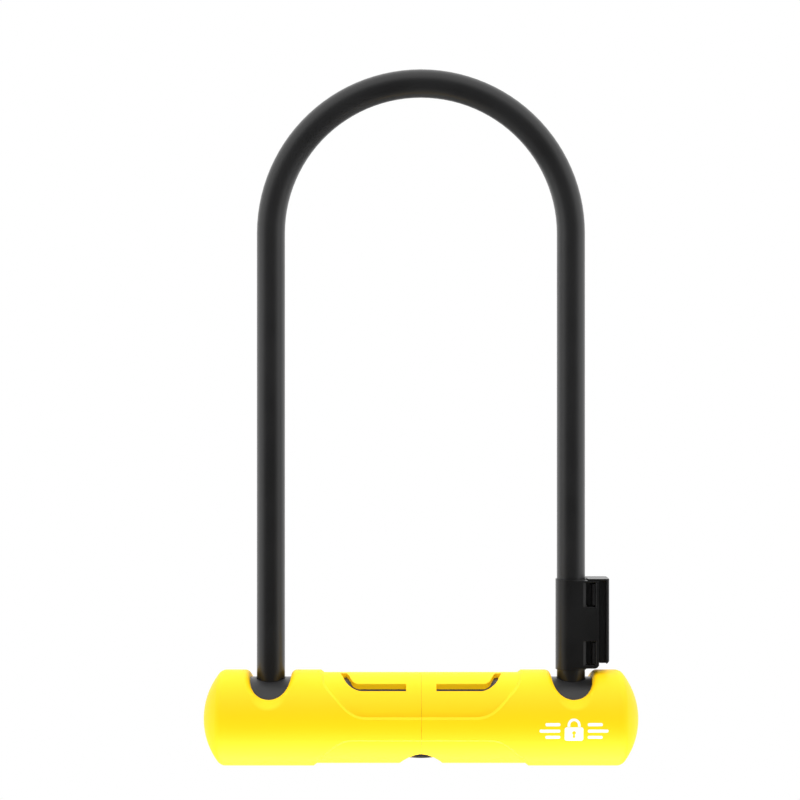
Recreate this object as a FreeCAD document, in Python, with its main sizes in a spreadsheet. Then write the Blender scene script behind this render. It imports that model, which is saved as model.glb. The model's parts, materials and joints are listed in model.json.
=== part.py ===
import FreeCAD, Part
import math
import os
import Sketcher
from FreeCAD import Placement, Rotation, Vector

# Bicycle U lock: a round crossbar that holds the locking works, and a coated steel
# shackle with a bracket clip on its right leg. X runs along the crossbar, Z points up
# through the shackle, and the key goes in from below. Rest is the unlocked state with
# the shackle pushed home: the bolts are drawn in and the plug is turned.

doc = FreeCAD.newDocument("ULock")

# Driving dimensions in millimetres. Heights are measured from the crossbar's own axis,
# and distances along the bar from its middle.
dimensions = {
    # covers
    "bar_length": 172.0,
    "cover_diameter": 37.5,
    "waist_diameter": 35.5,
    "cover_bore": 32.1,
    "dome_start": 78.9,
    "seam_gap": 0.08,
    "end_cavity_diameter": 24.0,
    "end_cavity_reach": 80.5,
    "tube_end_gap": 0.1,
    "recess_chamfer": 0.85,
    "recess_lean": 0.2,
    "dome_rounding": 4.0,
    "saddle_radius": 8.1,
    "saddle_height": 17.2,
    "flare_radius": 11.0,
    "flare_outside": 17.7,
    "flare_inside": 14.2,
    "saddle_rounding": 2.3,
    "keyhole_width": 15.6,
    "keyhole_length": 23.4,
    "keyhole_rounding": 0.9,
    "lug_diameter": 5.0,
    "lug_place": 45.0,
    "lug_depth": 1.8,
    "lug_end": 1.5,
    # tube and what is fixed in it
    "tube_diameter": 32.0,
    "tube_bore": 27.0,
    "tube_length": 152.0,
    "fit_play": 0.2,
    "running_play": 0.3,
    "thread_play": 0.1,
    "overcut": 1.0,
    "leg_hole_diameter": 11.5,
    "leg_hole_chamfer": 0.4,
    "cylinder_hole_diameter": 17.2,
    "insert_diameter": 26.8,
    "end_plug_length": 4.0,
    "socket_start": 49.0,
    "socket_length": 23.0,
    "socket_step": 10.2,
    "socket_bore": 10.4,
    "socket_floor": 11.3,
    "pin_diameter": 4.0,
    "socket_pin_place": 68.5,
    "socket_pin_length": 31.0,
    "carrier_pin_place": 39.0,
    "carrier_pin_drop": 8.0,
    "carrier_pin_length": 24.0,
    "carrier_length": 92.0,
    "carrier_split": 5.2,
    "screw_place": 33.0,
    "screw_offset": 7.5,
    "screw_diameter": 3.0,
    "screw_head_diameter": 5.5,
    "screw_head_height": 1.5,
    "screw_seat": 6.4,
    "screw_length": 10.0,
    # bolts
    "bolt_width": 8.0,
    "bolt_bottom": 3.0,
    "bolt_top": 5.0,
    "bolt_start": 20.0,
    "bolt_tip": 53.7,
    "bolt_travel": 4.0,
    "bolt_clearance": 0.2,
    "bolt_end_play": 0.5,
    "bolt_chamfer": 0.8,
    "arm_nose": 2.2,
    "arm_width": 6.0,
    "arm_bottom": 5.5,
    "arm_top": 8.0,
    "arm_root": 26.0,
    "drive_pin_diameter": 3.0,
    "drive_pin_place": 4.5,
    "drive_pin_tip": 2.8,
    # lock cylinder
    "cylinder_diameter": 17.0,
    "cylinder_face": 14.4,
    "cylinder_top": 2.0,
    "plug_diameter": 11.0,
    "plug_head_diameter": 14.0,
    "plug_head_back": 12.7,
    "plug_clearance": 0.05,
    "tail_width": 3.6,
    "tail_play": 0.05,
    "cam_diameter": 22.0,
    "cam_bottom": 2.5,
    "cam_top": 5.0,
    "cam_slot_width": 3.3,
    "cam_overtravel_angle": 2.0,
    "keyway_width": 2.6,
    "keyway_length": 7.4,
    "wafer_width": 5.0,
    "wafer_reach": 5.4,
    "wafer_thickness": 1.0,
    "wafer_pitch": 1.9,
    "wafer_first": 11.6,
    "wafer_travel": 0.8,
    "wafer_clearance": 0.05,
    "wafer_room": 0.7,
    "wafer_window_play": 0.1,
    "wafer_shoulder": 1.0,
    "keyway_top": 1.0,
    "shutter_width": 3.2,
    "shutter_length": 8.0,
    "shutter_thickness": 0.8,
    "shutter_height": 13.8,
    "shutter_travel": 3.0,
    "shutter_clearance": 0.1,
    "ramp_tip": 0.05,
    "spring_diameter": 0.8,
    "spring_wire": 0.2,
    "spring_length": 4.4,
    # shackle
    "leg_spacing": 119.0,
    "bar_diameter": 10.0,
    "coating_diameter": 11.15,
    "arch_height": 191.9,
    "leg_end": 11.0,
    "leg_end_chamfer": 1.0,
    "coating_start": 10.5,
    "notch_floor": 58.0,
    "notch_play": 0.25,
    # bracket clip, measured from the axis of the right leg
    "clip_bottom": 19.3,
    "clip_height": 35.4,
    "sleeve_bore": 11.2,
    "sleeve_diameter": 12.2,
    "sleeve_top": 55.0,
    "cheek_reach": 10.5,
    "cheek_gap": 8.8,
    "cheek_slot_start": 6.4,
    "cheek_lift": 0.9,
    "cheek_corner": 1.8,
    "window_start": 5.5,
    "slope_width": 1.2,
    "slope_depth": 0.85,
    "window_chamfer": 0.3,
    "window_end": 9.2,
    "window_low_bottom": 21.4,
    "window_low_top": 30.9,
    "window_high_bottom": 44.4,
    "window_high_top": 54.0,
    "lid_thickness": 0.7,
    "lid_reach": 14.6,
    "tongue_width": 5.0,
    "rail_neck_width": 6.0,
    "rail_neck_start": 10.9,
    "rail_lip_start": 13.4,
    "rail_reach": 14.6,
    "rail_width": 11.0,
    "rail_bottom": 22.1,
    "rail_overlap": 0.2,
    "rail_corner": 0.9,
    "rail_edge": 0.6,
    "shoulder_width": 7.6,
    "tongue_lift": 1.4,
    "plate_thickness": 1.1,
    "plate_lift": 1.8,
    "plate_play": 0.1,
    "snap_width": 8.4,
    "snap_thickness": 1.3,
    "snap_play": 0.4,
    "window_play": 0.2,
    "stop_overlap": 0.5,
    "nose_inset": 0.1,
    "nose_length": 1.0,
}

wafer_count = 7
spring_turns = 7

# how close a sampled point must be to count as lying on a surface
near = 0.02

# Outlines of the covers as points. The recess edges are seen from the front and each runs
# outward from its level line. The slot is seen from above, beside the top keel.
upper_recess = [(21.0, 3.2), (28.6, 5.9), (34.2, 11.3), (38.8, 18.2)]
lower_recess = [(26.5, -6.4), (33.0, -8.6), (37.6, -12.6), (41.5, -18.4)]
slot_inside = [(5.9, 9.8), (23.6, 9.8), (26.1, 9.15), (27.3, 7.5), (29.3, 1.7)]
slot_outside = [(5.9, 12.65), (23.4, 12.65), (28.0, 10.7), (30.1, 7.6), (31.9, 1.7)]

sheet = doc.addObject("Spreadsheet::Sheet", "dims")
for row, (alias, value) in enumerate(dimensions.items(), start=1):
    sheet.set("A%d" % row, alias)
    sheet.set("B%d" % row, str(value))
    sheet.setAlias("B%d" % row, alias)
doc.recompute()

# the sheet's values again, for the shapes and edges that are worked out in code
size = {alias: float(sheet.get(alias)) for alias in dimensions}

axis_height = "dims.cover_diameter / 2"
leg_place = "dims.leg_spacing / 2"
nodes = []


# Helpers

def bind(thing, sizes):
    for property_name, expression in sizes.items():
        thing.setExpression(property_name, expression)
    return thing


def put(thing, place):
    for letter, expression in zip("xyz", place):
        thing.setExpression("Placement.Base." + letter, expression)
    return thing


turns = {
    "X": Rotation(Vector(0, 1, 0), 90),
    "Y": Rotation(Vector(1, 0, 0), -90),
    "Z": Rotation(),
}


def rod(name, diameter, length, start, along="Z"):
    # a round bar that starts at a point and runs along an axis
    thing = doc.addObject("Part::Cylinder", name)
    thing.Placement = Placement(Vector(), turns[along])
    bind(thing, {"Radius": "(%s) / 2" % diameter, "Height": length})
    return put(thing, start)


def block(name, low, high):
    # a box between two corners, each given as three expressions
    thing = doc.addObject("Part::Box", name)
    for side, a, b in zip(("Length", "Width", "Height"), low, high):
        thing.setExpression(side, "(%s) - (%s)" % (b, a))
    return put(thing, low)


def mid_block(name, x_low, x_high, width, z_low, z_high):
    # a box centred on the plane y = 0
    half = "(%s) / 2" % width
    return block(name, (x_low, "-" + half, z_low), (x_high, half, z_high))


def fuse(name, *things):
    thing = doc.addObject("Part::MultiFuse", name)
    thing.Shapes = list(things)
    return thing


def cut(name, base, *tools):
    thing = doc.addObject("Part::Cut", name)
    thing.Base = base
    thing.Tool = tools[0] if len(tools) == 1 else fuse(name + "_tools", *tools)
    return thing


def common(name, base, tool):
    thing = doc.addObject("Part::Common", name)
    thing.Base = base
    thing.Tool = tool
    return thing


def mirrored(name, source):
    thing = doc.addObject("Part::Mirroring", name)
    thing.Source = source
    thing.Normal = Vector(1, 0, 0)
    return thing


def keep(thing, node):
    # a finished sub-part, standing on the crossbar's axis
    thing.Label = node
    nodes.append(thing)
    return thing


def keep_on_axis(thing, node):
    thing.setExpression("Placement.Base.z", axis_height)
    return keep(thing, node)


def keep_pair(right, name):
    # the right-hand piece and its mirror image
    keep_on_axis(right, name + "_right")
    return keep(mirrored(name + "_left_shape", right), name + "_left")


def sketch_on(body, plane, name):
    sketch = body.newObject("Sketcher::SketchObject", name)
    support = [face for face in body.Origin.OriginFeatures if face.Role == plane][0]
    sketch.AttachmentSupport = [(support, "")]
    sketch.MapMode = "FlatFace"
    return sketch


def pin_point(sketch, item, end, place, now=(1.0, 1.0)):
    # hold one point of a sketch at two expressions, measured from the sketch's origin;
    # "now" is where the point is while the sketch is being drawn
    for kind, expression, value in zip(("DistanceX", "DistanceY"), place, now):
        number = sketch.addConstraint(Sketcher.Constraint(kind, -1, 1, item, end, value))
        sketch.setExpression("Constraints[%d]" % number, expression)


def draw_circle(sketch, diameter, centre=("0", "0")):
    item = sketch.addGeometry(Part.Circle(Vector(0, 0, 0), Vector(0, 0, 1), 1.0), False)
    pin_point(sketch, item, 3, centre)
    number = sketch.addConstraint(Sketcher.Constraint("Diameter", item, 2.0))
    sketch.setExpression("Constraints[%d]" % number, diameter)


def draw_outline(sketch, corners):
    count = len(corners)
    unit = [Vector(math.cos(2 * math.pi * i / count), math.sin(2 * math.pi * i / count), 0)
            for i in range(count)]
    lines = [sketch.addGeometry(Part.LineSegment(unit[i], unit[(i + 1) % count]), False)
             for i in range(count)]
    for i, line in enumerate(lines):
        after = lines[(i + 1) % count]
        sketch.addConstraint(Sketcher.Constraint("Coincident", line, 2, after, 1))
        pin_point(sketch, line, 1, corners[i])


def draw_rectangle(sketch, x_low, x_high, y_low, y_high):
    draw_outline(sketch, [(x_low, y_low), (x_high, y_low), (x_high, y_high), (x_low, y_high)])


def feature(body, kind, profile, settings, sizes=None):
    thing = body.newObject("PartDesign::" + kind, profile.Name + "_" + kind.lower())
    thing.Profile = profile
    for property_name, value in settings.items():
        setattr(thing, property_name, value)
    bind(thing, sizes or {})
    return thing


def edges_where(shape, test, count=9):
    # the edges whose every sampled point passes a test
    found = []
    for number, edge in enumerate(shape.Edges, start=1):
        if not edge.Degenerated and all(test(point) for point in edge.discretize(count)):
            found.append(number)
    return found


def radius_of(point):
    # distance of a point from the crossbar's axis
    return math.hypot(point.y, point.z)


# Covers

def recess_tool(outer, waist, contour, far_height):
    # the ring between full and waist radius, kept only inside an outline seen from the front
    reach = 2 * contour[-1].x
    behind = -size["overcut"]
    lean = size["recess_lean"]
    ring = Part.makeCylinder(2 * outer, reach, Vector(behind, 0, 0), Vector(1, 0, 0))
    ring = ring.cut(Part.makeCylinder(waist, reach, Vector(behind, 0, 0), Vector(1, 0, 0)))
    bend = Part.BSplineCurve()
    bend.interpolate(Points=contour, InitialTangent=Vector(1, 0, 0),
                     FinalTangent=Vector(lean, 0, math.copysign(1, far_height)))
    start = contour[0]
    end = contour[-1]
    far_reach = end.x + lean * abs(far_height - end.z)
    corners = [end, Vector(far_reach, 0, far_height), Vector(behind, 0, far_height),
               Vector(behind, 0, start.z), start]
    sides = [Part.LineSegment(a, b).toShape() for a, b in zip(corners, corners[1:])]
    outline = Part.Face(Part.Wire([bend.toShape()] + sides))
    outline.translate(Vector(0, -2 * outer, 0))
    return ring.common(outline.extrude(Vector(0, 4 * outer, 0)))


def slot_side(points):
    # one side of a slot: a straight run, a bend through the third point, and a straight leg
    start, bend_start, bend_middle, bend_end, end = [Vector(x, y, 0) for x, y in points]
    return [
        Part.LineSegment(start, bend_start).toShape(),
        Part.Arc(bend_start, bend_middle, bend_end).toShape(),
        Part.LineSegment(bend_end, end).toShape(),
    ]


def slot_tool(depth):
    # one L-shaped slot seen from above: it runs beside the keel, then bends across to it
    sides = slot_side(slot_inside) + slot_side(slot_outside)
    for end in (0, -1):
        across = Part.LineSegment(Vector(*slot_inside[end], 0), Vector(*slot_outside[end], 0))
        sides.append(across.toShape())
    outline = Part.Wire(Part.__sortEdges__(sides))
    return Part.Face(outline).extrude(Vector(0, 0, depth))


def edges_of(shape, test):
    return [shape.Edges[number - 1] for number in edges_where(shape, test)]


def cover_blank():
    # the outside: a round bar with a domed end
    outer = size["cover_diameter"] / 2
    end = size["bar_length"] / 2
    dome_start = size["dome_start"]
    drop = end - dome_start
    dome = (outer ** 2 + drop ** 2) / (2 * drop)
    seam = size["seam_gap"] / 2
    slope = math.asin((outer / 2) / dome)
    start = Vector(seam, 0, 0)
    top = Vector(seam, 0, outer)
    shoulder = Vector(dome_start, 0, outer)
    dome_middle = Vector(end - dome + dome * math.cos(slope), 0, outer / 2)
    tip = Vector(end, 0, 0)
    profile = Part.Wire([
        Part.LineSegment(start, top).toShape(),
        Part.LineSegment(top, shoulder).toShape(),
        Part.Arc(shoulder, dome_middle, tip).toShape(),
        Part.LineSegment(tip, start).toShape(),
    ])
    shape = Part.Face(profile).revolve(Vector(), Vector(1, 0, 0), 360)
    shape = Part.Solid(shape) if shape.ShapeType != "Solid" else shape
    rim = edges_of(shape, lambda p: abs(p.x - dome_start) < near)
    return shape.makeFillet(size["dome_rounding"], rim)


def cut_recesses(shape):
    # shallow recesses above and below, which leave a full-radius belt round the waist
    outer = size["cover_diameter"] / 2
    waist = size["waist_diameter"] / 2
    seam = size["seam_gap"] / 2
    for points, direction in ((upper_recess, 1), (lower_recess, -1)):
        contour = [Vector(x, 0, z) for x, z in points]
        shape = shape.cut(recess_tool(outer, waist, contour, 2 * outer * direction))
    recess_reach = lower_recess[-1][0] + outer - waist
    at_seam = edges_where(shape, lambda p: p.x < seam + near)
    step = edges_where(shape, lambda p: abs(radius_of(p) - outer) < near and p.x < recess_reach)
    step = [shape.Edges[number - 1] for number in step if number not in at_seam]
    return shape.makeChamfer(size["recess_chamfer"], step)


def cut_saddle(shape):
    # the place where the leg goes in: open to the front and the back, and flared outward
    outer = size["cover_diameter"] / 2
    leg = size["leg_spacing"] / 2
    radius = size["saddle_radius"]
    height = size["saddle_height"]
    width = 3 * outer
    saddle = Part.makeCylinder(radius, width, Vector(leg, -width / 2, height), Vector(0, 1, 0))
    corner = Vector(leg - radius, -width / 2, height)
    saddle = saddle.fuse(Part.makeBox(2 * radius, width, outer, corner))
    shape = shape.cut(saddle.removeSplitter())
    inside = size["flare_inside"]
    slope = (size["flare_radius"] - radius) / (size["flare_outside"] - inside)
    length = outer - inside + size["overcut"]
    for side in (1, -1):
        flare = Part.makeCone(radius, radius + slope * length, length,
                              Vector(leg, side * inside, height), Vector(0, side, 0))
        shape = shape.cut(flare)
    reach = size["flare_radius"] + slope
    lip = edges_of(shape, lambda p: abs(radius_of(p) - outer) < near and abs(p.x - leg) < reach)
    return shape.makeFillet(size["saddle_rounding"], lip)


def cut_keyhole(shape):
    # the oval opening for the key, with a rounded mouth
    outer = size["cover_diameter"] / 2
    waist = size["waist_diameter"] / 2
    radius = size["keyhole_width"] / 2
    reach = size["keyhole_length"] / 2
    down = Vector(0, 0, -1)
    end = reach - radius
    hole = Part.makeCylinder(radius, outer, Vector(0, end, 0), down)
    hole = hole.fuse(Part.makeCylinder(radius, outer, Vector(0, -end, 0), down))
    hole = hole.fuse(Part.makeBox(2 * radius, 2 * end, outer, Vector(-radius, -end, -outer)))
    shape = shape.cut(hole.removeSplitter())
    mouth = edges_of(shape, lambda p: p.z < -waist / 2 and abs(radius_of(p) - waist) < near
                     and p.x < radius + near and abs(p.y) < reach + near)
    return shape.makeFillet(size["keyhole_rounding"], mouth)


def cut_inside(shape):
    bore = size["cover_bore"] / 2
    along = Vector(1, 0, 0)
    cavity = Part.makeCylinder(bore, size["tube_length"] / 2 + size["tube_end_gap"], Vector(), along)
    end_radius = size["end_cavity_diameter"] / 2
    cavity = cavity.fuse(Part.makeCylinder(end_radius, size["end_cavity_reach"], Vector(), along))
    return shape.cut(cavity.removeSplitter())


def cover_shape():
    outer = size["cover_diameter"] / 2
    shape = cut_inside(cut_keyhole(cut_saddle(cut_recesses(cover_blank()))))
    slot = slot_tool(2 * outer)
    shape = shape.cut(slot).cut(slot.mirror(Vector(), Vector(0, 1, 0)))
    # a lug that snaps into the tube
    lug_top = size["lug_depth"] - size["tube_diameter"] / 2
    lug = Part.makeCylinder(size["lug_diameter"] / 2, outer - size["lug_end"] + lug_top,
                            Vector(size["lug_place"], 0, lug_top), Vector(0, 0, -1))
    shape = shape.fuse(lug).removeSplitter()
    return shape.Solids[0] if len(shape.Solids) == 1 else shape


def make_covers():
    cover = doc.addObject("Part::Feature", "cover_shape")
    cover.Shape = cover_shape()
    keep_pair(cover, "cover")


# Tube and inserts

def make_tube():
    body = doc.addObject("PartDesign::Body", "tube_body")
    ring = sketch_on(body, "YZ_Plane", "tube_section")
    draw_circle(ring, "dims.tube_diameter")
    draw_circle(ring, "dims.tube_bore")
    feature(body, "Pad", ring, {"SideType": "Symmetric"}, {"Length": "dims.tube_length"})
    legs = sketch_on(body, "XY_Plane", "tube_leg_holes")
    for sign in ("", "-"):
        draw_circle(legs, "dims.leg_hole_diameter", (sign + leg_place, "0"))
    pocket_up(body, legs)
    below = sketch_on(body, "XY_Plane", "tube_lower_holes")
    draw_circle(below, "dims.cylinder_hole_diameter")
    for sign in ("", "-"):
        draw_circle(below, "dims.lug_diameter + dims.fit_play", (sign + "dims.lug_place", "0"))
    pocket_down(body, below)
    across = sketch_on(body, "XZ_Plane", "tube_pin_holes")
    for sign in ("", "-"):
        draw_circle(across, "dims.pin_diameter", (sign + "dims.socket_pin_place", "0"))
        draw_circle(across, "dims.pin_diameter",
                    (sign + "dims.carrier_pin_place", "-dims.carrier_pin_drop"))
    holes = pocket_both(body, across)
    doc.recompute()
    outer = size["tube_diameter"] / 2
    hole = size["leg_hole_diameter"] / 2
    leg = size["leg_spacing"] / 2
    rims = edges_where(holes.Shape, lambda p: p.z > 0 and abs(radius_of(p) - outer) < near
                       and abs(math.hypot(abs(p.x) - leg, p.y) - hole) < near)
    chamfer = body.newObject("PartDesign::Chamfer", "tube_leg_hole_rims")
    chamfer.Base = (holes, ["Edge%d" % number for number in rims])
    chamfer.setExpression("Size", "dims.leg_hole_chamfer")
    keep_on_axis(body, "lock_tube")


def pocket_up(body, sketch):
    # a pocket cuts against its sketch's normal, so one that goes up is reversed
    return feature(body, "Pocket", sketch, {"Reversed": True}, {"Length": "dims.cover_diameter"})


def pocket_down(body, sketch):
    return feature(body, "Pocket", sketch, {"Reversed": False}, {"Length": "dims.cover_diameter"})


def pocket_both(body, sketch):
    # a pocket that cuts to both sides of its sketch, right through the part
    return feature(body, "Pocket", sketch, {"SideType": "Symmetric"},
                   {"Length": "2 * dims.cover_diameter"})


def make_end_plugs():
    plug = rod("end_plug_disc", "dims.insert_diameter", "dims.end_plug_length",
               ("dims.tube_length / 2 - dims.end_plug_length", "0", "0"), "X")
    hollow = rod("end_plug_hollow", "dims.insert_diameter / 2", "dims.end_plug_length / 2",
                 ("dims.tube_length / 2 - dims.end_plug_length / 2", "0", "0"), "X")
    keep_pair(cut("end_plug", plug, hollow), "tube_end_plug")


def make_leg_sockets():
    blank = rod("socket_blank", "dims.insert_diameter", "dims.socket_length",
                ("dims.socket_start", "0", "0"), "X")
    mouth = rod("socket_mouth", "dims.leg_hole_diameter", "dims.cover_diameter",
                (leg_place, "0", "dims.socket_step"))
    bore = rod("socket_bore_hole", "dims.socket_bore", "dims.cover_diameter",
               (leg_place, "0", "-dims.socket_floor"))
    way = mid_block("socket_bolt_way", "dims.socket_start - dims.overcut", leg_place,
                    "dims.bolt_width + 2 * dims.bolt_clearance",
                    "-dims.bolt_bottom - dims.bolt_clearance", "dims.bolt_top + dims.bolt_clearance")
    pin = rod("socket_pin_hole", "dims.pin_diameter", "dims.cover_diameter",
              ("dims.socket_pin_place", "-dims.cover_diameter / 2", "0"), "Y")
    keep_pair(cut("socket", blank, mouth, bore, way, pin), "leg_socket")


def make_pins():
    socket_pin = rod("socket_pin", "dims.pin_diameter", "dims.socket_pin_length",
                     ("dims.socket_pin_place", "-dims.socket_pin_length / 2", "0"), "Y")
    keep_pair(hollowed(socket_pin, "socket_pin_solid"), "socket_pin")
    carrier_pin = rod("carrier_pin", "dims.pin_diameter", "dims.carrier_pin_length",
                      ("dims.carrier_pin_place", "-dims.carrier_pin_length / 2",
                       "-dims.carrier_pin_drop"), "Y")
    keep_pair(hollowed(carrier_pin, "carrier_pin_solid"), "carrier_pin")


def hollowed(rod_piece, name):
    # a roll pin: hollow, so that it can be driven in
    hollow = doc.addObject("Part::Cylinder", name + "_hollow")
    hollow.Placement = rod_piece.Placement
    bind(hollow, {"Radius": rod_piece.Name + ".Radius / 2", "Height": rod_piece.Name + ".Height"})
    put(hollow, tuple(rod_piece.Name + ".Placement.Base." + letter for letter in "xyz"))
    return cut(name, rod_piece, hollow)


def make_carrier():
    half = "dims.carrier_length / 2"
    start = ("-dims.carrier_length / 2", "0", "0")
    high = "dims.cover_diameter"
    lower_blank = rod("carrier_lower_blank", "dims.insert_diameter", "dims.carrier_length", start, "X")
    above = mid_block("carrier_above", "-dims.carrier_length", "dims.carrier_length", high,
                      "dims.carrier_split", high)
    cylinder = rod("carrier_cylinder_bore", "dims.cylinder_diameter + dims.fit_play",
                   high + " + dims.cylinder_top + dims.fit_play", ("0", "0", "-" + high))
    cam = rod("carrier_cam_pocket", "dims.cam_diameter + 2 * dims.running_play", high,
              ("0", "0", "dims.cam_bottom - dims.running_play"))
    ways = [way_for_bolt("carrier_bolt_way", sign) for sign in (1, -1)]
    pins = [rod("carrier_pin_hole", "dims.pin_diameter", high,
                (sign + "dims.carrier_pin_place", "-dims.cover_diameter / 2",
                 "-dims.carrier_pin_drop"), "Y")
            for sign in ("", "-")]
    thread_end = "dims.screw_seat - dims.screw_length - dims.running_play"
    threads = [rod("carrier_thread", "dims.screw_diameter + dims.thread_play",
                   "dims.screw_length + dims.overcut",
                   (x + "dims.screw_place", y + "dims.screw_offset", thread_end))
               for x in ("", "-") for y in ("", "-")]
    lower = cut("carrier_lower_solid", lower_blank, above, cylinder, cam, *ways, *pins, *threads)
    keep_on_axis(lower, "carrier_lower")

    upper_blank = rod("carrier_upper_blank", "dims.insert_diameter", "dims.carrier_length", start, "X")
    under = mid_block("carrier_under", "-dims.carrier_length", "dims.carrier_length", high,
                      "-" + high, "dims.carrier_split")
    arm_reach = "dims.arm_root + dims.bolt_travel + 2 * dims.running_play"
    arms = mid_block("carrier_arm_way", "-(%s)" % arm_reach, arm_reach,
                     "dims.arm_width + 2 * dims.fit_play", "0", "dims.arm_top + dims.running_play")
    seats = []
    for x in ("", "-"):
        for y in ("", "-"):
            place = (x + "dims.screw_place", y + "dims.screw_offset")
            seats.append(rod("carrier_screw_hole", "dims.screw_diameter + 2 * dims.fit_play", high,
                             place + ("0",)))
            seats.append(rod("carrier_screw_seat", "dims.screw_head_diameter + dims.running_play", high,
                             place + ("dims.screw_seat",)))
    upper = cut("carrier_upper_solid", upper_blank, under, arms, *seats)
    keep_on_axis(upper, "carrier_upper")

    screws = []
    for x in ("", "-"):
        for y in ("", "-"):
            place = (x + "dims.screw_place", y + "dims.screw_offset")
            shank = rod("carrier_screw_shank", "dims.screw_diameter", "dims.screw_length",
                        place + ("dims.screw_seat - dims.screw_length",))
            head = rod("carrier_screw_head", "dims.screw_head_diameter", "dims.screw_head_height",
                       place + ("dims.screw_seat",))
            screws.append(fuse("carrier_screw", shank, head))
    group = doc.addObject("Part::Compound", "carrier_screw_set")
    group.Links = screws
    keep_on_axis(group, "carrier_screws")


def way_for_bolt(name, sign):
    inner = "dims.bolt_start - dims.bolt_end_play"
    outer = "dims.carrier_length / 2 + dims.overcut"
    x_low, x_high = (inner, outer) if sign > 0 else ("-(%s)" % outer, "-(%s)" % inner)
    return mid_block(name, x_low, x_high, "dims.bolt_width + 2 * dims.bolt_clearance",
                     "-dims.bolt_bottom - dims.bolt_clearance", "dims.cover_diameter")


# Bolts and lock cylinder

def make_bolts():
    bar = mid_block("bolt_bar", "dims.bolt_start", "dims.bolt_tip", "dims.bolt_width",
                    "-dims.bolt_bottom", "dims.bolt_top")
    riser = mid_block("bolt_riser", "dims.bolt_start", "dims.arm_root", "dims.arm_width",
                      "dims.bolt_top - dims.overcut", "dims.arm_top")
    arm = mid_block("bolt_arm", "dims.drive_pin_place - dims.arm_nose", "dims.arm_root", "dims.arm_width",
                    "dims.arm_bottom", "dims.arm_top")
    pin = rod("bolt_drive_pin", "dims.drive_pin_diameter", "dims.arm_top - dims.drive_pin_tip",
              ("dims.drive_pin_place", "0", "dims.drive_pin_tip"))
    whole = fuse("bolt_blank", bar, riser, arm, pin)
    doc.recompute()
    tip = size["bolt_tip"]
    corners = edges_where(whole.Shape, lambda p: abs(p.x - tip) < near)
    bolt = doc.addObject("Part::Chamfer", "bolt")
    bolt.Base = whole
    bolt.Edges = [(number, size["bolt_chamfer"], size["bolt_chamfer"]) for number in corners]
    keep_pair(bolt, "bolt")


def make_cylinder():
    bottom = "-dims.cylinder_face"
    blank = rod("cylinder_blank", "dims.cylinder_diameter", "dims.cylinder_top + dims.cylinder_face",
                ("0", "0", bottom))
    bore = rod("cylinder_bore", "dims.plug_diameter + 2 * dims.plug_clearance", "dims.cover_diameter",
               ("0", "0", bottom))
    head = rod("cylinder_counterbore", "dims.plug_head_diameter + 2 * dims.plug_clearance",
               "dims.cylinder_face - dims.plug_head_back + dims.plug_clearance", ("0", "0", bottom))
    reach = "dims.wafer_reach + dims.wafer_travel + 2 * dims.fit_play"
    side = "dims.wafer_width / 2 + dims.fit_play"
    low = "-dims.wafer_first - dims.wafer_room"
    high = wafer_level(wafer_count - 1) + " + dims.wafer_thickness + dims.wafer_room"
    groove_y = block("cylinder_groove_y", ("-(%s)" % side, "-(%s)" % reach, low), (side, reach, high))
    groove_x = block("cylinder_groove_x", ("-(%s)" % reach, "-(%s)" % side, low), (reach, side, high))
    keep_on_axis(cut("cylinder_solid", blank, bore, head, groove_y, groove_x), "cylinder_body")


def wafer_level(number):
    return "-dims.wafer_first + %d * dims.wafer_pitch" % number


def make_plug():
    head = rod("plug_head", "dims.plug_head_diameter", "dims.cylinder_face - dims.plug_head_back",
               ("0", "0", "-dims.cylinder_face"))
    stem = rod("plug_stem", "dims.plug_diameter", "dims.plug_head_back + dims.cylinder_top",
               ("0", "0", "-dims.plug_head_back"))
    tail = mid_block("plug_tail", "-dims.tail_width / 2", "dims.tail_width / 2", "dims.tail_width",
                     "0", "dims.cam_top")
    keyway = mid_block("plug_keyway", "-dims.keyway_width / 2", "dims.keyway_width / 2",
                       "dims.keyway_length", "-dims.cover_diameter / 2", "dims.keyway_top")
    gap = "dims.wafer_clearance"
    slots = [mid_block("plug_wafer_slot", "-dims.wafer_width / 2 - " + gap,
                       "dims.wafer_width / 2 + " + gap, "dims.cover_diameter",
                       "%s - %s" % (wafer_level(i), gap),
                       "%s + dims.wafer_thickness + %s" % (wafer_level(i), gap))
             for i in range(wafer_count)]
    play = "dims.shutter_clearance"
    shutter_way = mid_block("plug_shutter_way", "-dims.shutter_width / 2 - " + play,
                            "dims.shutter_width / 2 + dims.shutter_travel + " + play,
                            "dims.shutter_length + 2 * " + play, "-dims.shutter_height - " + play,
                            "-dims.shutter_height + dims.shutter_thickness + " + play)
    spring_way = mid_block("plug_spring_way", "0", "dims.shutter_width / 2 + dims.spring_length",
                           "dims.spring_diameter + dims.running_play", "-dims.shutter_height - " + play,
                           "-dims.shutter_height + dims.shutter_thickness + " + play)
    whole = fuse("plug_blank", head, stem, tail)
    keep_on_axis(cut("plug_solid", whole, keyway, shutter_way, spring_way, *slots), "plug")


def make_wafers():
    # each wafer is a flat plate with rounded ends and a window for the key
    for name, start in (("wafers_upper", 0), ("wafers_lower", 1)):
        plates = []
        for number in range(start, wafer_count, 2):
            level = wafer_level(number)
            plate = mid_block("wafer_plate", "-dims.wafer_width / 2", "dims.wafer_width / 2",
                              "2 * dims.wafer_reach", level, level + " + dims.wafer_thickness")
            round_end = rod("wafer_round", "2 * dims.wafer_reach", "dims.wafer_thickness",
                            ("0", "0", level))
            window_side = "dims.keyway_width / 2 + dims.wafer_window_play"
            window = mid_block("wafer_window", "-(%s)" % window_side, window_side,
                               "dims.keyway_length - dims.wafer_shoulder",
                               level, level + " + dims.wafer_thickness")
            plates.append(cut("wafer", common("wafer_blank", plate, round_end), window))
        group = doc.addObject("Part::Compound", name + "_set")
        group.Links = plates
        keep_on_axis(group, name)


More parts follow.
